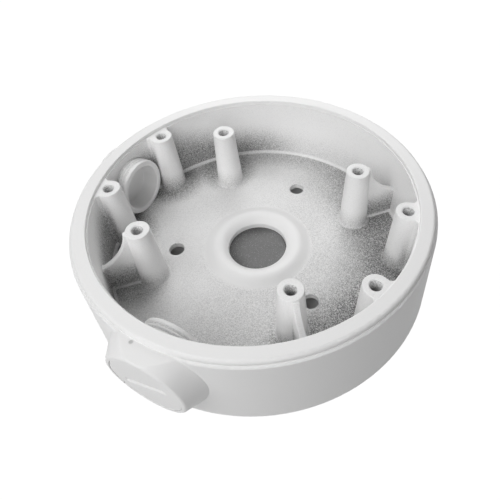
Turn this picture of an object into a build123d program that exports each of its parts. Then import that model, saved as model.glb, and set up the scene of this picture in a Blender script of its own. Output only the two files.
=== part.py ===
"""Round camera junction box: a die-cast housing with two screwed side entry plugs and a blanked rear entry.

Millimetres. The origin is the centre of the base plane, which lies on the wall or table. +Z points up out
of the open mouth, the left entry faces -X and the front entry faces -Y.
"""
import math
import os

from build123d import *

# Overall form of the casting
height = 36.0
base_radius = 70.9
wall_draft = 1.5
shoulder_round = 0.7
rim_step = 0.9
rim_width = 5.6
rim_round = 1.3
rim_inner_round = 0.4
lip_height = 1.9

# Inside of the casting
floor_top = 6.4
floor_thickness = 2.4
inner_ledge_depth = 1.7
inner_ledge_width = 0.4
inner_wall_draft = 0.7
floor_round = 0.9

# Recess under the floor
foot_width = 10.4
recess_round = 1.0

# Screw posts, all with their tops at one height below the rim
post_top_drop = 1.5
post_top_radius = 4.65
post_foot_radius = 6.1
post_edge_round = 0.4
post_neck_flare = 1.4
post_foot_round = 0.9
post_thread_radius = 2.2
post_thread_depth = 20.0
post_hole_chamfer = 0.35
inner_post_to_wall = 18.0
inner_post_angles = (45.0, 135.0, 225.0, 315.0)
wall_post_to_wall = 3.617
wall_post_spacing_y = 36.4

# Webs that tie the inner posts to the wall
web_thickness = 2.6
web_drop_at_post = 0.5
web_level_past_post = 0.9
web_height_at_wall = 12.5
web_dip = 3.9
web_edge_round = 0.5

# Holes for the wall screws
wall_screw_centre = (0.7, 1.9)
wall_screw_circle_radius = 36.4
wall_screw_hole_radius = 3.2
wall_screw_edge_round = 0.4
wall_screw_count = 3
wall_screw_first_angle = 90.0

# Rear entry in the middle of the floor
rear_bore_radius = 12.4
rear_bore_edge_width = 0.8
rear_crown_radius = 17.3
rear_crown_height = 2.2
rear_crown_foot_radius = 22.8
rear_seat_radius = 16.8
rear_seat_gap = 0.4
blank_flange_radius = 14.2
blank_flange_thickness = 1.5
blank_inner_face_drop = 3.1
blank_fit = 0.03

# Side entries, whose bosses fill the height of the wall; the left one barely stands out of it
entry_angles = {"left": 180.0, "front": 270.0}
entry_boss_stand_off = {"left": 0.1, "front": 4.5}
entry_boss_base_gap = 3.2
entry_boss_top_drop = 0.1
entry_boss_flare = 0.5
entry_boss_round = 1.3
entry_boss_land = 1.55
entry_seat_depth = 3.8
entry_seat_width = 1.35

# Screw plugs of the side entries
plug_inner_reach = 5.5
plug_end_chamfer = 0.5
plug_cup_wall = 2.6
plug_closed_end = 5.8
plug_head_drop = 0.1
plug_head_round = 0.3
plug_slot_margin = 4.35
plug_slot_width = 2.2
plug_slot_depth = 1.1
plug_slot_tilt = 20.0
thread_running_gap = 0.05
head_side_gap = 0.12
seal_thickness = 1.0
seal_width = 0.75
seal_side_gap = 0.3

# Sizes of the casting that follow
shoulder_radius = base_radius - wall_draft
rim_outer_radius = shoulder_radius - rim_step
rim_inner_radius = rim_outer_radius - rim_width
inner_wall_radius = rim_inner_radius - inner_ledge_width
floor_radius = inner_wall_radius - inner_wall_draft
recess_radius = base_radius - foot_width
floor_underside = floor_top - floor_thickness
shoulder_level = height - lip_height
inner_ledge_level = height - inner_ledge_depth
wall_bite = (shoulder_radius - inner_wall_radius) / 2
post_top = height - post_top_drop
post_foot_level = floor_top - floor_thickness / 2
rear_crown_level = floor_top + rear_crown_height
rear_edge_level = floor_top + rear_crown_height / 3
blank_inner_face = rear_edge_level - blank_inner_face_drop

# Sizes of the side entries and plugs that follow
entry_boss_radius = (shoulder_level - entry_boss_top_drop - entry_boss_base_gap) / 2
entry_axis_height = entry_boss_base_gap + entry_boss_radius
entry_face_distance = {side: base_radius + out for side, out in entry_boss_stand_off.items()}
plug_inner_end_distance = inner_wall_radius - plug_inner_reach
plug_head_radius = entry_boss_radius - entry_boss_land
entry_thread_radius = plug_head_radius - entry_seat_width
entry_bore_radius = entry_thread_radius + thread_running_gap
plug_cup_radius = entry_thread_radius - plug_cup_wall
plug_slot_length = 2 * (plug_head_radius - plug_slot_margin)
seal_inner_radius = entry_thread_radius + seal_side_gap
seal_outer_radius = seal_inner_radius + seal_width

# Places of the screw posts
inner_post_circle_radius = inner_wall_radius - inner_post_to_wall
wall_post_x = math.sqrt((inner_wall_radius - wall_post_to_wall) ** 2 - (wall_post_spacing_y / 2) ** 2)
wall_posts = [
    Vector(side_x * wall_post_x, side_y * wall_post_spacing_y / 2)
    for side_x in (-1, 1)
    for side_y in (-1, 1)
]
inner_posts = [Vector(inner_post_circle_radius, 0, 0).rotate(Axis.Z, angle) for angle in inner_post_angles]


def turned(profile_edges):
    """Revolve a closed profile, drawn in the XZ plane, about the box's vertical axis."""
    return revolve(make_face(profile_edges), Axis.Z, 360)


def casting_shell():
    """The drafted outer wall with its stepped rim, the floor, and the shallow recess under it."""
    outside = [(0, 0), (base_radius, 0), (shoulder_radius, shoulder_level),
               (rim_outer_radius, shoulder_level), (rim_outer_radius, height), (0, height)]
    body = turned(Polyline(*[(x, 0, z) for x, z in outside], close=True).edges())
    hollow = [(0, floor_top), (floor_radius, floor_top), (inner_wall_radius, inner_ledge_level),
              (rim_inner_radius, inner_ledge_level), (rim_inner_radius, height), (0, height)]
    body -= turned(Polyline(*[(x, 0, z) for x, z in hollow], close=True).edges())
    body -= Cylinder(recess_radius, floor_underside, align=(Align.CENTER, Align.CENTER, Align.MIN))
    body = fillet(circles_at(body, floor_top, floor_radius), floor_round)
    body = fillet(circles_at(body, height, rim_inner_radius), rim_inner_round)
    body = fillet(circles_at(body, height, rim_outer_radius), rim_round)
    body = fillet(circles_at(body, shoulder_level, shoulder_radius), shoulder_round)
    return fillet(circles_at(body, floor_underside, recess_radius), recess_round)


def circles_at(body, level, radius):
    """The circular edges of a body that lie at one level with one radius."""
    found = body.edges().filter_by(GeomType.CIRCLE).filter_by_position(Axis.Z, level - 0.01, level + 0.01)
    return found.filter_by(lambda edge: abs(edge.radius - radius) < 0.01)


def post(place, neck_length=0.0):
    """A tapered screw post on the floor. A wall post has a neck, as wide as the post, out to the wall."""
    outline = Circle(post_top_radius)
    if neck_length:
        half = post_top_radius
        corners = [(0, half), (neck_length - post_neck_flare, half), (neck_length, half + post_neck_flare),
                   (neck_length + wall_bite, half + post_neck_flare)]
        mirrored = [(x, -y) for x, y in reversed(corners)]
        outline += make_face(Polyline(*corners, *mirrored, close=True).edges())
    rise = post_top - post_foot_level
    taper = math.degrees(math.atan((post_foot_radius - post_top_radius) / rise))
    stem = extrude(outline, -rise, taper=-taper)
    stem = fillet(stem.edges().group_by(Axis.Z)[-1], post_edge_round)
    return Pos(place.X, place.Y, post_top) * Rot(0, 0, math.degrees(math.atan2(place.Y, place.X))) * stem


def post_hole(place):
    """The blind threaded hole in a post, with a small countersink."""
    hole = Cylinder(post_thread_radius, post_thread_depth, align=(Align.CENTER, Align.CENTER, Align.MAX))
    mouth = Cone(post_thread_radius, post_thread_radius + post_hole_chamfer, post_hole_chamfer,
                 align=(Align.CENTER, Align.CENTER, Align.MAX))
    return Pos(place.X, place.Y, post_top) * (hole + mouth)


def web(angle):
    """The radial web from an inner post to the wall, with a deeply hollowed and rounded top edge."""
    inner_end = inner_post_circle_radius
    outer_end = inner_wall_radius + wall_bite
    foot = post_foot_level
    brow = (inner_end + post_top_radius + web_level_past_post, 0, post_top - web_drop_at_post)
    at_wall = (inner_wall_radius, 0, floor_top + web_height_at_wall)
    middle = ((brow[0] + at_wall[0]) / 2, 0, (brow[2] + at_wall[2]) / 2 - web_dip)
    top = ThreePointArc(brow, middle, at_wall)
    rest = Polyline(at_wall, (outer_end, 0, at_wall[2]), (outer_end, 0, foot), (inner_end, 0, foot),
                    (inner_end, 0, brow[2]), brow)
    plate = extrude(make_face([*top.edges(), *rest.edges()]), web_thickness / 2, dir=(0, 1, 0), both=True)
    across = plate.edges().filter_by(Axis.Y).filter_by_position(Axis.X, brow[0] - 0.01, brow[0] + 0.01)
    level = plate.edges().filter_by(Axis.X).filter_by_position(Axis.Z, brow[2] - 0.01, brow[2] + 0.01)
    plate = fillet([*plate.edges().filter_by(GeomType.CIRCLE), *across, *level], web_edge_round)
    return Rot(0, 0, angle) * plate


def foot_edges(body):
    """The edges where the inner posts and their webs stand on the floor."""
    at_floor = body.edges().filter_by_position(Axis.Z, floor_top - 0.01, floor_top + 0.01)
    rings = at_floor.filter_by(GeomType.CIRCLE)
    rings = rings.filter_by(lambda edge: abs(off_axis(edge.arc_center) - inner_post_circle_radius) < 0.01)
    return rings + at_floor.filter_by(GeomType.LINE)


def off_axis(point):
    """The distance of a point from the box's vertical axis."""
    return math.hypot(point.X, point.Y)


def rear_entry_crown():
    """The smooth raised ring round the rear entry, and the seat that hangs below the floor."""
    bore_edge = (rear_bore_radius + rear_bore_edge_width, 0, rear_edge_level)
    crown = (rear_crown_radius, 0, rear_crown_level)
    foot = (rear_crown_foot_radius, 0, floor_top)
    inner_slope = Spline(bore_edge, crown, tangents=[(1, 0, 0.9), (1, 0, 0)])
    outer_slope = Spline(crown, foot, tangents=[(1, 0, 0), (1, 0, -0.15)])
    rest = Polyline(foot, (rear_crown_foot_radius, 0, floor_underside),
                    (rear_seat_radius, 0, floor_underside), (rear_seat_radius, 0, rear_seat_gap),
                    (rear_bore_radius / 2, 0, rear_seat_gap),
                    (rear_bore_radius / 2, 0, rear_edge_level), bore_edge)
    return turned([*inner_slope.edges(), *outer_slope.edges(), *rest.edges()])


def rear_entry_bore():
    """The rear bore with its bevelled top edge and the counterbore for the blank's flange."""
    top_cone = Cone(rear_bore_radius, rear_bore_radius + rear_bore_edge_width, rear_bore_edge_width,
                    align=(Align.CENTER, Align.CENTER, Align.MAX))
    counterbore = Cylinder(blank_flange_radius + blank_fit, blank_flange_thickness,
                           align=(Align.CENTER, Align.CENTER, Align.MIN))
    bore = Cylinder(rear_bore_radius, height, align=(Align.CENTER, Align.CENTER, Align.MIN))
    return bore + Pos(0, 0, rear_edge_level) * top_cone + Pos(0, 0, rear_seat_gap) * counterbore


def entry_frame(angle):
    """The place of a side entry: local +Z runs outwards along the plug's axis, local +Y points up."""
    return Rot(0, 0, angle) * Pos(0, 0, entry_axis_height) * Rot(0, 90, 0) * Rot(0, 0, 90)


def seat_distance(side):
    """How far from the box's axis a side entry has the seat under its plug's head."""
    return entry_face_distance[side] - entry_seat_depth


def length_in_bore(side):
    """The length of a plug's shank inwards of its seat."""
    return seat_distance(side) - plug_inner_end_distance


def entry_boss(side):
    """The round boss of a side entry, flared towards the wall and cut level with the rim's shoulder."""
    depth = entry_face_distance[side] - inner_wall_radius - wall_bite
    boss = Cone(entry_boss_radius + depth * entry_boss_flare, entry_boss_radius, depth,
                align=(Align.CENTER, Align.CENTER, Align.MAX))
    boss = fillet(boss.edges().sort_by(Axis.Z)[-1], entry_boss_round)
    keep = Box(4 * base_radius, 4 * base_radius, shoulder_level,
               align=(Align.CENTER, Align.CENTER, Align.MIN))
    boss = entry_frame(entry_angles[side]) * Pos(0, 0, entry_face_distance[side]) * boss & keep
    return fillet(boss.edges().filter_by_position(Axis.Z, shoulder_level - 0.01, height), shoulder_round)


def entry_bore(side):
    """The side entry's threaded bore and the flat-bottomed recess for the plug's head."""
    bore = Cylinder(entry_bore_radius, length_in_bore(side),
                    align=(Align.CENTER, Align.CENTER, Align.MAX))
    recess = Cylinder(plug_head_radius + head_side_gap, height,
                      align=(Align.CENTER, Align.CENTER, Align.MIN))
    return entry_frame(entry_angles[side]) * Pos(0, 0, seat_distance(side)) * (bore + recess)


def housing():
    """The one-piece casting: shell, posts, webs, side bosses and rear entry."""
    body = casting_shell()
    body += [entry_boss(side) for side in entry_angles]
    body += [web(angle) for angle in inner_post_angles]
    body += [post(place) for place in inner_posts]
    body += [post(place, inner_wall_radius - place.length) for place in wall_posts]
    body = fillet(foot_edges(body), post_foot_round)
    body += rear_entry_crown()
    body -= [post_hole(place) for place in [*wall_posts, *inner_posts]]
    body -= [entry_bore(side) for side in entry_angles]
    body -= rear_entry_bore()
    screw_hole = Pos(wall_screw_circle_radius, 0, 0) * Cylinder(wall_screw_hole_radius, height)
    step = 360 / wall_screw_count
    turns = [Rot(0, 0, wall_screw_first_angle + step * k) for k in range(wall_screw_count)]
    body -= [Pos(*wall_screw_centre) * turn * screw_hole for turn in turns]
    return fillet(circles_at(body, floor_top, wall_screw_hole_radius), wall_screw_edge_round)


def entry_plug(side):
    """A cup-shaped screw plug: hollow threaded shank and a round head with a coin slot."""
    face = entry_seat_depth - plug_head_drop
    in_bore = length_in_bore(side)
    shank = Cylinder(entry_thread_radius, in_bore + seal_thickness,
                     align=(Align.CENTER, Align.CENTER, Align.MAX))
    shank = Pos(0, 0, seal_thickness) * chamfer(shank.edges().sort_by(Axis.Z)[0], plug_end_chamfer)
    head = Cylinder(plug_head_radius, face - seal_thickness, align=(Align.CENTER, Align.CENTER, Align.MAX))
    head = Pos(0, 0, face) * fillet(head.edges().sort_by(Axis.Z)[-1], plug_head_round)
    cup = Cylinder(plug_cup_radius, in_bore + face - plug_closed_end,
                   align=(Align.CENTER, Align.CENTER, Align.MIN))
    cup = Pos(0, 0, -in_bore) * cup
    slot = extrude(SlotOverall(plug_slot_length, plug_slot_width), -plug_slot_depth)
    plug = shank + head - cup - Pos(0, 0, face) * Rot(0, 0, plug_slot_tilt) * slot
    return entry_frame(entry_angles[side]) * Pos(0, 0, seat_distance(side)) * plug


def plug_seal(side):
    """The flat rubber ring under a plug's head, round the shank."""
    ring = Cylinder(seal_outer_radius, seal_thickness, align=(Align.CENTER, Align.CENTER, Align.MIN))
    ring -= Cylinder(seal_inner_radius, seal_thickness, align=(Align.CENTER, Align.CENTER, Align.MIN))
    return entry_frame(entry_angles[side]) * Pos(0, 0, seat_distance(side)) * ring


def rear_entry_blank():
    """The metal disc pressed into the rear entry from behind, with a flange in the counterbore."""
    flange = Cylinder(blank_flange_radius, blank_flange_thickness,
                      align=(Align.CENTER, Align.CENTER, Align.MIN))
    disc = Cylinder(rear_bore_radius - blank_fit, blank_inner_face - rear_seat_gap,
                    align=(Align.CENTER, Align.CENTER, Align.MIN))
    return Pos(0, 0, rear_seat_gap) * (flange + disc)


nodes = {"housing": housing(), "rear_entry_blank": rear_entry_blank()}
for entry in entry_angles:
    nodes[f"{entry}_entry_plug"] = entry_plug(entry)
    nodes[f"{entry}_plug_seal"] = plug_seal(entry)

os.makedirs("parts", exist_ok=True)
for name, solid in nodes.items():
    solid.label = name
    export_step(solid, f"parts/{name}.step")
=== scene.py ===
"""A round die-cast camera junction box in white paint, seen from above on a white ground.

Metres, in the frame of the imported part: +Z out of the open face, the left entry towards -X and the front entry
towards -Y. Sizes that repeat the part's are written in millimetres and scaled by MM.
"""
import math

import bmesh
import bpy
import numpy as np
from mathutils import Matrix, Vector


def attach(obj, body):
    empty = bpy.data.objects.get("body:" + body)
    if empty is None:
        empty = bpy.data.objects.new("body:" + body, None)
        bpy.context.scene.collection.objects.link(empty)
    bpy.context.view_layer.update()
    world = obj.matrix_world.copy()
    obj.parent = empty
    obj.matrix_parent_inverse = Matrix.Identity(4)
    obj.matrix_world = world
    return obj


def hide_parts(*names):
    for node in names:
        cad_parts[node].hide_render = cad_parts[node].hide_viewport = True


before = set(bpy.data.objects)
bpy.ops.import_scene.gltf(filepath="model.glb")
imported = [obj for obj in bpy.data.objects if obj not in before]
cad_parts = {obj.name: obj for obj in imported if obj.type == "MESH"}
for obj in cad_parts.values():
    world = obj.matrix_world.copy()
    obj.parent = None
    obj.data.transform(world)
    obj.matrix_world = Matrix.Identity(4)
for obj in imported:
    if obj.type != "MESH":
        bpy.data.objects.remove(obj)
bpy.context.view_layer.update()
MM = 0.001

# Sizes of the box that the looks need, in millimetres
POST_TOP = 34.5
POST_HOLE = 2.2
INNER_POST_CIRCLE = 44.5
WALL_POST_X = 56.0
WALL_POST_Y = 18.2
ENTRY_HEIGHT = 18.6
ENTRY_FACE = {"left": 71.0, "front": 75.4}
ENTRY_SEAT_DEPTH = 3.8
PLUG_END = 57.0
PLUG_RADIUS = 12.5
PLUG_CUP_RADIUS = 9.9
PLUG_CLOSED_END = 5.8
PLUG_HEAD_RADIUS = 13.85
PLUG_HEAD_DROP = 0.1
THREAD_PITCH = 1.5
THREAD_DEPTH = 0.62
SLOT_LENGTH = 19.0
SLOT_WIDTH = 2.2
SLOT_DEPTH = 1.1
SLOT_TILT = math.radians(20.0)

INNER_POSTS = [(INNER_POST_CIRCLE * math.cos(math.radians(a)), INNER_POST_CIRCLE * math.sin(math.radians(a)))
               for a in (45, 135, 225, 315)]
WALL_POSTS = [(sx * WALL_POST_X, sy * WALL_POST_Y) for sx in (-1, 1) for sy in (-1, 1)]
POSTS = INNER_POSTS + WALL_POSTS


# Shader maths

class Flow:
    """One value in a material: a socket whose operators add the Math nodes for an expression."""

    def __init__(self, tree, socket):
        self.tree = tree
        self.socket = socket

    def node(self, kind, settings=None, inputs=None, output=0):
        """Adds a node, sets its properties, then fills its inputs with values or other flows."""
        made = self.tree.nodes.new(kind)
        for key, value in (settings or {}).items():
            setattr(made, key, value)
        for key, value in (inputs or {}).items():
            if isinstance(value, Flow):
                self.tree.links.new(value.socket, made.inputs[key])
            elif value is not None:
                made.inputs[key].default_value = value
        return Flow(self.tree, made.outputs[output])

    def math(self, operation, *values):
        return self.node("ShaderNodeMath", {"operation": operation}, dict(enumerate(values)))

    def __add__(self, other):
        return self.math("ADD", self, other)

    def __radd__(self, other):
        return self.math("ADD", other, self)

    def __sub__(self, other):
        return self.math("SUBTRACT", self, other)

    def __rsub__(self, other):
        return self.math("SUBTRACT", other, self)

    def __mul__(self, other):
        return self.math("MULTIPLY", self, other)

    def __rmul__(self, other):
        return self.math("MULTIPLY", other, self)

    def __pow__(self, other):
        return self.math("POWER", self, other)

    def most(self, other):
        return self.math("MAXIMUM", self, other)

    def least(self, other):
        return self.math("MINIMUM", self, other)

    def root(self):
        return self.math("SQRT", self)

    def size(self):
        return self.math("ABSOLUTE", self)

    def ramp(self, low, high):
        """0 below low, 1 above high, with soft ends; low above high turns it round."""
        if low > high:
            return 1 - self.ramp(high, low)
        return self.node("ShaderNodeMapRange", {"interpolation_type": "SMOOTHSTEP"},
                         {"Value": self, "From Min": low, "From Max": high})

    def near(self, place, half):
        """1 where the value is within half of place, falling softly to 0."""
        return ((self - place).size()).ramp(half, half * 0.4)

    def parts(self):
        """The X, Y and Z of a vector."""
        first = self.node("ShaderNodeSeparateXYZ", None, {0: self})
        return [Flow(self.tree, first.socket.node.outputs[k]) for k in range(3)]

    def millimetres(self):
        """The X, Y and Z of a place, in millimetres."""
        return [part * 1000.0 for part in self.parts()]

    def noise(self, per_metre, detail=2.0, roughness=0.5):
        """Noise on this coordinate, with so many cells to the metre."""
        return self.node("ShaderNodeTexNoise", None,
                         {"Vector": self, "Scale": per_metre, "Detail": detail, "Roughness": roughness})

    def between(self, first, second):
        """A number between first and second, with this value as the share of second."""
        return first + (second - first) * self

    def mix(self, first, second):
        """A colour between first and second, with this value as the share of second."""
        made = self.tree.nodes.new("ShaderNodeMix")
        made.data_type = "RGBA"
        self.tree.links.new(self.socket, made.inputs["Factor"])
        for socket, value in ((made.inputs[6], first), (made.inputs[7], second)):
            if isinstance(value, Flow):
                self.tree.links.new(value.socket, socket)
            else:
                socket.default_value = (*value, 1.0)
        return Flow(self.tree, made.outputs[2])

    def bump(self, strength, distance, normal=None):
        """A bump of this height map."""
        return self.node("ShaderNodeBump", None,
                         {"Strength": strength, "Distance": distance, "Height": self, "Normal": normal})


def grey(level, warmth=0.0):
    """A near-neutral colour; warmth lifts red and lowers blue a little."""
    return (level * (1 + warmth), level, level * (1 - warmth))


def material(name, shown, recipe):
    """A material whose recipe gets the place flow and returns what feeds the shader's sockets."""
    made = bpy.data.materials.new(name)
    made.use_nodes = True
    made.diffuse_color = (*shown, 1.0)
    tree = made.node_tree
    shader = tree.nodes["Principled BSDF"]
    place = Flow(tree, tree.nodes.new("ShaderNodeTexCoord").outputs["Object"])
    for socket, value in recipe(place).items():
        if isinstance(value, Flow):
            tree.links.new(value.socket, shader.inputs[socket])
        elif isinstance(value, tuple):
            shader.inputs[socket].default_value = (*value, 1.0)
        else:
            shader.inputs[socket].default_value = value
    return made


PAINT = grey(0.92, 0.002)
PAINT_IOR = 1.47
BARE_CASTING = grey(0.15)
PIT = (-5.0, -69.3, 34.1)
PINHOLE = (-11.4, -75.4, 10.3)
EJECTOR_MARKS = ((-1.1, 50.7), (-23.9, -47.8), (30.0, -51.0))
POCKET = (62.0, 0.0)


def away_from(x, y, place):
    """The distance from an upright line through a place."""
    return ((x - place[0]) ** 2.0 + (y - place[1]) ** 2.0).root()


def paint_skin(place):
    """The slight waviness of sprayed paint, as a height."""
    return place.noise(750.0, 2.0, 0.5) * 0.02


def spot(x, y, z, place, radius):
    """1 within radius of a point, falling to 0 a little outside it."""
    away = ((x - place[0]) ** 2.0 + (y - place[1]) ** 2.0 + (z - place[2]) ** 2.0).root()
    return away.ramp(radius * 1.3, radius * 0.5)


def housing_paint(place):
    """White satin paint. Inside, it thins to a fine grey grain where little spray reached, and the grey also
    holds painted shade in the corners, round the posts and on the left wall.
    """
    x, y, z = place.millimetres()
    upward = place.node("ShaderNodeTexCoord", None, None, "Normal").parts()[2]
    radius = (x * x + y * y).root()
    inside = radius.ramp(63.0, 62.7) * z.ramp(5.0, 6.0)
    cloud = place.noise(60.0, 3.0, 0.6) - 0.5
    drift = place.noise(17.0, 1.0, 0.5) - 0.5
    near_floor = z.ramp(9.4, 7.6)

    # On the floor it greys outwards, more on the right, less in front and most round the posts; this is partly
    # thin paint and partly painted shade
    flat = upward.ramp(0.75, 0.97)
    rightward = (x * 0.966 - y * 0.259).ramp(-25.0, 25.0)
    even = 0.06 + 0.15 * rightward
    outwards = rightward.between(0.34 * radius.ramp(47.0, 59.0), 0.42 * radius.ramp(30.0, 52.0))
    frontward = y.ramp(-8.0, -36.0) * x.ramp(36.0, 20.0)
    outwards = outwards * (1 - 0.85 * frontward)
    thin_floor_and_shade = even + outwards
    # Round the posts the floor greys for the spray's shelter and as painted shade of the posts
    shelter_and_shadow, fillets = None, radius.ramp(60.6, 61.0)
    for px, py in POSTS:
        out = 1.16 if (px, py) in INNER_POSTS else 1.0
        here = away_from(x, y, (px * out, py * out)).ramp(17.0, 7.0)
        shelter_and_shadow = here if shelter_and_shadow is None else shelter_and_shadow.most(here)
        fillets = fillets.most(away_from(x, y, (px, py)).near(6.5, 0.6) * 0.3)
    sheltered_and_shaded = 0.43 * shelter_and_shadow * (1 - 0.5 * frontward * x.ramp(-34.0, -24.0))
    thin_floor_and_shade = 1 - (1 - thin_floor_and_shade) * (1 - sheltered_and_shaded)
    # Painted shade and thin paint together: the floor's left front corner under the left wall is greyed almost
    # fully
    left_corner_thin_and_shaded = x.ramp(-33.0, -46.0) * y.ramp(-12.0, -22.0) * radius.ramp(49.0, 57.0)
    thin_floor_and_shade = thin_floor_and_shade.most(0.95 * left_corner_thin_and_shaded)
    thin_floor_and_shade = (thin_floor_and_shade + cloud * 0.12 + drift * 0.12) * near_floor * radius.ramp(21.8, 24.0)

    # On the wall it greys towards the foot, most on the left and in the right pocket; little on the posts. It is
    # thin paint and painted shade, the shade most on the left wall
    leftward = x.ramp(-6.0, -34.0)
    pocket = away_from(x, y, POCKET).ramp(20.0, 11.0)
    half_way = 16.5 + 9.0 * x.ramp(-38.0, -60.0) + 3.0 * pocket
    foot = z - half_way + cloud * 5.0 + drift * 4.0
    amount = 0.15 + 0.52 * leftward + 0.38 * pocket
    by_wall = radius.ramp(57.5, 60.5)
    on_posts = (0.26 + 0.26 * radius.ramp(43.0, 50.0)) * (z + cloud * 6.0).ramp(17.0, 6.5)
    thin_wall_and_shade = by_wall.between(on_posts, amount * foot.ramp(8.5, -8.0)) * radius.ramp(30.0, 34.0)

    # The webs' lower parts grey too, as thin paint and painted shade, and paint gathers in the rounded corners
    # round the floor
    off_web = (x.size() - y.size()).size() * math.sqrt(0.5)
    by_web = radius.ramp(47.5, 49.5) * radius.ramp(62.5, 61.9)
    thin_web_and_shade = 0.62 * (z + cloud * 6.0).ramp(22.0, 10.0) * off_web.ramp(1.9, 1.5) * by_web
    fillets = fillets.most(off_web.near(1.75, 0.6) * by_web) * z.ramp(8.0, 7.3)
    # This mask is real thin paint and painted shade together, its amounts set where the lamps alone leave the
    # inside too light
    thin_paint_and_shade = flat.between(thin_wall_and_shade.most(thin_web_and_shade), thin_floor_and_shade) * inside * (1 - 0.75 * fillets)

    grain = place.noise(2400.0, 2.0, 0.75)
    strength = (0.55 * radius.ramp(20.0, 24.0) + 3.7 * thin_paint_and_shade) * (inside * 0.9 + 0.1)
    grey_share = thin_paint_and_shade * 1.08 + (grain - 0.5) * strength
    grey_share = grey_share.most(0.0).least(1.0)
    pit = spot(x, y, z, PIT, 0.75)
    pinhole = spot(x, y, z, PINHOLE, 0.35)
    shade = grey_share.most(pit * 0.45).most(pinhole * 0.8)

    rings = None
    for ex, ey in EJECTOR_MARKS:
        ring = away_from(x, y, (ex, ey)).near(3.6, 0.35) * near_floor * inside
        rings = ring if rings is None else rings.most(ring)
    height = paint_skin(place) + pit * -0.25 + pinhole * -0.2 + rings * -0.05 + grain * thin_paint_and_shade * 0.05
    return {
        "Base Color": shade.mix(PAINT, BARE_CASTING),
        "Roughness": grey_share.between(0.42, 0.6),
        "Normal": height.bump(0.6, 0.001),
        "IOR": PAINT_IOR,
    }


def plug_paint(side):
    """White paint outside; the hollow of the cup is plain grey, and the thread's roots are a little bare."""
    def recipe(place):
        x, y, z = place.millimetres()
        along, across = (x * -1.0, y) if side == "left" else (y * -1.0, x)
        off_axis = (across * across + (z - ENTRY_HEIGHT) ** 2.0).root()
        cup = off_axis.ramp(PLUG_CUP_RADIUS + 0.12, PLUG_CUP_RADIUS - 0.05) * along.ramp(57.3, 57.8)
        face = ENTRY_FACE[side]
        cup = cup * along.ramp(face - 3.4, face - 3.9)
        root = off_axis.ramp(12.3, 11.9) * off_axis.ramp(11.4, 11.6) * along.ramp(57.6, 58.0)
        root = root * along.ramp(face - 2.6, face - 3.0)
        grain = place.noise(2300.0, 2.0, 0.6)
        grey_share = (cup * 0.14).most(root * grain.ramp(0.35, 0.7) * 0.35)
        height = paint_skin(place) + grain * cup * 0.01
        return {
            "Base Color": grey_share.mix(PAINT, grey(0.20)),
            "Roughness": cup.between(0.42, 0.55),
            "Normal": height.bump(0.6, 0.001),
            "IOR": PAINT_IOR,
        }
    return recipe


def blank_metal(place):
    """Dark grey casting metal with a fine white fleck, with painted shade: darker towards the edge on the left
    and in a thin ring at the rim.
    """
    x, y, _ = place.millimetres()
    radius = (x * x + y * y).root()
    fleck = place.noise(2400.0, 2.0, 0.75)
    bright = fleck.ramp(0.58, 0.70)
    tone = place.noise(160.0, 3.0, 0.6)
    # Painted shade: the crown's shadow across the disc's left part and a dark contact ring round its edge
    painted_shade = (radius.ramp(5.0, 11.5) * x.ramp(3.0, -6.0) * 0.9).most(radius.ramp(11.7, 12.2) * 0.9)
    dark = painted_shade.mix(tone.mix(grey(0.150), grey(0.200)), grey(0.075))
    return {
        "Base Color": (bright * 0.6).mix(dark, grey(0.55)),
        "Roughness": bright.between(0.58, 0.7),
        "Normal": fleck.bump(0.25, 0.00006),
    }


def seal_rubber(place):
    """Matte black rubber with a fine dusty bloom."""
    bloom = place.noise(900.0, 3.0, 0.6)
    return {
        "Base Color": bloom.ramp(0.4, 0.8).mix(grey(0.018), grey(0.045)),
        "Roughness": bloom.between(0.7, 0.85),
        "Normal": bloom.bump(0.2, 0.0001),
    }


def tapped_metal(place):
    """The cut threads in the posts: grey metal with a trace of paint on the crests."""
    grain = place.noise(1800.0, 2.0, 0.6)
    return {
        "Base Color": grain.ramp(0.35, 0.6).mix(grey(0.44), grey(0.80)),
        "Roughness": grain.between(0.3, 0.5),
        "Normal": grain.bump(0.2, 0.00005),
    }


MATERIALS = {
    "housing_paint": material("housing_paint", PAINT, housing_paint),
    "left_plug_paint": material("left_plug_paint", PAINT, plug_paint("left")),
    "front_plug_paint": material("front_plug_paint", PAINT, plug_paint("front")),
    "blank_metal": material("blank_metal", grey(0.13), blank_metal),
    "seal_rubber": material("seal_rubber", grey(0.03), seal_rubber),
    "tapped_metal": material("tapped_metal", grey(0.3), tapped_metal),
}


# Surfaces

def piece(name, grids, finish, sharp=35.0):
    """One mesh from grids of points in millimetres, each a row by column array whose columns close up."""
    points, faces, start = [], [], 0
    for grid in grids:
        rows, columns = grid.shape[:2]
        row = np.arange(rows - 1)[:, None] * columns
        this = np.arange(columns)[None, :]
        after = (this + 1) % columns
        quads = np.stack([row + this, row + after, row + columns + after, row + columns + this], -1)
        faces.append(quads.reshape(-1, 4) + start)
        points.append(grid.reshape(-1, 3) * MM)
        start += rows * columns
    mesh = bpy.data.meshes.new(name)
    mesh.from_pydata(np.concatenate(points), [], np.concatenate(faces))
    work = bmesh.new()
    work.from_mesh(mesh)
    bmesh.ops.remove_doubles(work, verts=work.verts, dist=1e-7)
    bmesh.ops.recalc_face_normals(work, faces=work.faces)
    work.to_mesh(mesh)
    work.free()
    mesh.polygons.foreach_set("use_smooth", np.ones(len(mesh.polygons), dtype=bool))
    mesh.set_sharp_from_angle(angle=math.radians(sharp))
    mesh.materials.append(MATERIALS[finish])
    made = bpy.data.objects.new(name, mesh)
    bpy.context.scene.collection.objects.link(made)
    return made


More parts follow.
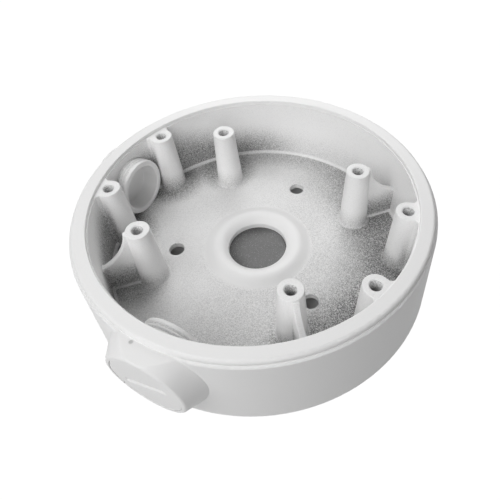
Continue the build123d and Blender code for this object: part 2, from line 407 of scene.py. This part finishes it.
def stations(*corners, step=0.5):
    """Points along a chain of straight runs, each run divided evenly into steps of about this length."""
    out = []
    for first, last in zip(corners[:-1], corners[1:]):
        count = max(1, math.ceil(math.dist(first, last) / step))
        share = np.arange(count)[:, None] / count
        out.append(np.array(first) + share * (np.array(last) - np.array(first)))
    return np.concatenate(out + [np.array([corners[-1]])])


def quarter(centre, radius, start, end, count=6):
    """Points of an arc, from the start angle to the end angle in degrees."""
    angle = np.radians(np.linspace(start, end, count))
    return np.stack([centre[0] + radius * np.cos(angle), centre[1] + radius * np.sin(angle)], -1)


def smooth(value):
    """0 below 0, 1 above 1, and 3t^2 - 2t^3 between."""
    value = np.clip(value, 0.0, 1.0)
    return value * value * (3.0 - 2.0 * value)


def screw_plug(side, outward, sideways):
    """A cup-shaped plug turned about its axis.

    The profile runs from the middle of the cup's bottom, round the open end, along the thread and under the
    head to the middle of the face. On the thread the radius loses depth * (1 + cos(2 pi u)) / 2, where u is
    distance / pitch - angle / 2 pi, which is a right-hand helix. On the face the distance loses the slot's
    depth inside a capsule, that is, where the distance from the slot's middle line is under half its width.
    """
    seat, face = ENTRY_FACE[side] - ENTRY_SEAT_DEPTH, ENTRY_FACE[side] - PLUG_HEAD_DROP
    bottom = face - PLUG_CLOSED_END
    cup, end, major, head = PLUG_CUP_RADIUS, PLUG_END, PLUG_RADIUS, PLUG_HEAD_RADIUS
    profile = np.concatenate([
        stations((bottom, 0.0), (bottom, cup - 0.8), step=1.2)[:-1],
        quarter((bottom - 0.8, cup - 0.8), 0.8, 0.0, 90.0),
        stations((bottom - 0.9, cup), (end + 0.5, cup), step=1.5),
        quarter((end + 0.4, cup + 0.4), 0.4, 270.0, 180.0),
        stations((end, cup + 0.6), (end, major - 0.75), step=0.5),
        quarter((end + 0.35, major - 0.65), 0.35, 170.0, 115.0, 4),
        stations((end + 0.6, major - 0.08), (seat + 0.9, major - 0.03), step=0.11),
        stations((seat + 1.0, major), (seat + 1.0, head), step=0.4),
        stations((seat + 1.15, head), (face - 0.35, head), step=0.5),
        quarter((face - 0.3, head - 0.3), 0.3, 90.0, 0.0),
        stations((face, head - 0.5), (face, 0.0), step=0.13),
    ])
    columns = 288
    angle = np.arange(columns) * (2 * math.pi / columns)
    along = np.repeat(profile[:, :1], columns, 1)
    radius = np.repeat(profile[:, 1:], columns, 1)
    wave = 0.5 + 0.5 * np.cos(2 * math.pi * (along / THREAD_PITCH - angle / (2 * math.pi)))
    on_shank = (radius > major - 0.7) & (radius < major + 0.01)
    fade = smooth((along - end - 0.3) / 0.8) * smooth((seat - 0.4 - along) / 0.8)
    radius = radius - np.where(on_shank, THREAD_DEPTH * fade * wave ** 0.8, 0.0)
    across, up = radius * np.cos(angle), radius * np.sin(angle)
    u = across * math.cos(SLOT_TILT) + up * math.sin(SLOT_TILT)
    v = up * math.cos(SLOT_TILT) - across * math.sin(SLOT_TILT)
    half = (SLOT_LENGTH - SLOT_WIDTH) / 2
    rim = np.hypot(np.maximum(np.abs(u) - half, 0.0), v) - SLOT_WIDTH / 2
    along = along - np.where(along > face - 0.01, SLOT_DEPTH * smooth(0.5 - rim / 0.34), 0.0)
    points = (along[..., None] * np.array(outward) + across[..., None] * np.array(sideways)
              + (up[..., None] + ENTRY_HEIGHT) * np.array((0.0, 0.0, 1.0)))
    return piece(f"{side}_screw_plug", [points], f"{side}_plug_paint")


def post_thread(px, py):
    """The ridges of a thread in a post's hole.

    A tube whose radius is hole - ridge * (1 - |2u - 1|), where u is level / pitch - angle / 2 pi.
    """
    columns, pitch, ridge = 30, 0.7, 0.30
    level = POST_TOP - np.linspace(0.45, 12.0, 100)[:, None]
    angle = np.arange(columns)[None, :] * (2 * math.pi / columns)
    u = np.mod(level / pitch - angle / (2 * math.pi), 1.0)
    fade = smooth((POST_TOP - 0.45 - level) / 0.5)
    radius = POST_HOLE - 0.012 - ridge * fade * (1.0 - np.abs(2.0 * u - 1.0))
    return np.stack([px + radius * np.cos(angle), py + radius * np.sin(angle), level + 0.0 * angle], -1)


for side, outward, sideways in (("left", (-1.0, 0.0, 0.0), (0.0, -1.0, 0.0)),
                                ("front", (0.0, -1.0, 0.0), (1.0, 0.0, 0.0))):
    plug = screw_plug(side, outward, sideways)
    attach(plug, f"{side}_plug")
    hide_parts(f"{side}_entry_plug")

threads = piece("post_threads", [post_thread(px, py) for px, py in POSTS], "tapped_metal", 60.0)
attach(threads, "box")

for node, finish in (("housing", "housing_paint"), ("rear_entry_blank", "blank_metal"),
                     ("left_plug_seal", "seal_rubber"), ("front_plug_seal", "seal_rubber")):
    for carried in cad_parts[node].material_slots:
        carried.material = MATERIALS[finish]


# Camera

def photo_camera():
    """The camera that fits the photograph. Its matrix holds its right, up and back directions and its place."""
    focal, centre_x, centre_y, pixels = 480.708, 273.923, 234.551, 500.0
    data = bpy.data.cameras.new("photo_camera")
    data.sensor_width = 36.0
    data.lens = focal / pixels * 36.0
    data.shift_x = (pixels / 2 - centre_x) / pixels
    data.shift_y = (centre_y - pixels / 2) / pixels
    data.clip_start = 0.01
    made = bpy.data.objects.new("photo_camera", data)
    made.matrix_world = Matrix(((0.8919005, -0.3134657, 0.3259642, 0.0721848),
                                (0.4496102, 0.6921365, -0.5646218, -0.1102558),
                                (-0.0486221, 0.6501433, 0.7582543, 0.1656721),
                                (0.0, 0.0, 0.0, 1.0)))
    bpy.context.scene.collection.objects.link(made)
    bpy.context.scene.camera = made


photo_camera()


# Ground, lamps and sky

GROUND_SIZE = 3.0


def ground():
    """A wide sheet, white to the camera round the box; to other light it is dark, but pale under the box."""
    made = bpy.data.materials.new("white_ground")
    made.use_nodes = True
    tree = made.node_tree
    shader = tree.nodes["Principled BSDF"]
    shader.inputs["Roughness"].default_value = 0.9
    start = Flow(tree, tree.nodes.new("ShaderNodeTexCoord").outputs["Object"])
    x, y, _ = start.parts()
    away = (x * x + y * y).root()
    open_ground = away.ramp(0.062, 0.069)
    tone = away.ramp(0.059, 0.061).mix(grey(0.8), grey(0.12))
    tree.links.new(tone.socket, shader.inputs["Base Color"])
    rays = tree.nodes.new("ShaderNodeLightPath").outputs
    seen = Flow(tree, rays["Is Camera Ray"]).most(Flow(tree, rays["Is Glossy Ray"]))
    seen = seen.most(Flow(tree, rays["Is Transmission Ray"])) * open_ground * 0.93
    glow = start.node("ShaderNodeEmission", None, {"Color": (1.0, 1.0, 1.0, 1.0), "Strength": 1.1})
    mixed = start.node("ShaderNodeMixShader", None, {0: seen, 1: Flow(tree, shader.outputs[0]), 2: glow})
    tree.links.new(mixed.socket, tree.nodes["Material Output"].inputs["Surface"])
    mesh = bpy.data.meshes.new("white_ground")
    half = GROUND_SIZE / 2
    corners = [(-half, -half, 0), (half, -half, 0), (half, half, 0), (-half, half, 0)]
    mesh.from_pydata(corners, [], [(0, 1, 2, 3)])
    mesh.materials.append(made)
    sheet = bpy.data.objects.new("white_ground", mesh)
    bpy.context.scene.collection.objects.link(sheet)


LAMP_AIM = (0.0, 0.0, 0.02)


def lamp(name, place, size, power):
    """A square soft lamp at a place, facing the middle of the box."""
    data = bpy.data.lights.new(name, "AREA")
    data.shape = "SQUARE"
    data.size = size
    data.energy = power
    made = bpy.data.objects.new(name, data)
    toward = (Vector(LAMP_AIM) - Vector(place)).to_track_quat("-Z", "Y").to_matrix().to_4x4()
    toward.translation = place
    made.matrix_world = toward
    bpy.context.scene.collection.objects.link(made)


def sky(strength):
    """Even soft light, with pure white where the camera sees past the ground."""
    world = bpy.data.worlds.new("soft_sky")
    world.use_nodes = True
    bpy.context.scene.world = world
    tree = world.node_tree
    back = tree.nodes["Background"]
    back.inputs["Color"].default_value = (1.0, 1.0, 1.0, 1.0)
    rays = tree.nodes.new("ShaderNodeLightPath").outputs
    seen = Flow(tree, rays["Is Camera Ray"])
    level = seen.between(strength, 1.0)
    tree.links.new(level.socket, back.inputs["Strength"])


ground()
lamp("left_softbox", (-0.158, -0.349, 0.341), 0.4, 1.35)
lamp("rear_softbox", (-0.154, 0.380, 0.307), 0.4, 1.5)
lamp("front_softbox", (0.433, -0.75, 0.52), 0.7, 3.3)
lamp("top_softbox", (-0.15, 0.12, 0.48), 0.35, 0.28)
sky(0.02)
bpy.context.scene.view_settings.view_transform = "Standard"
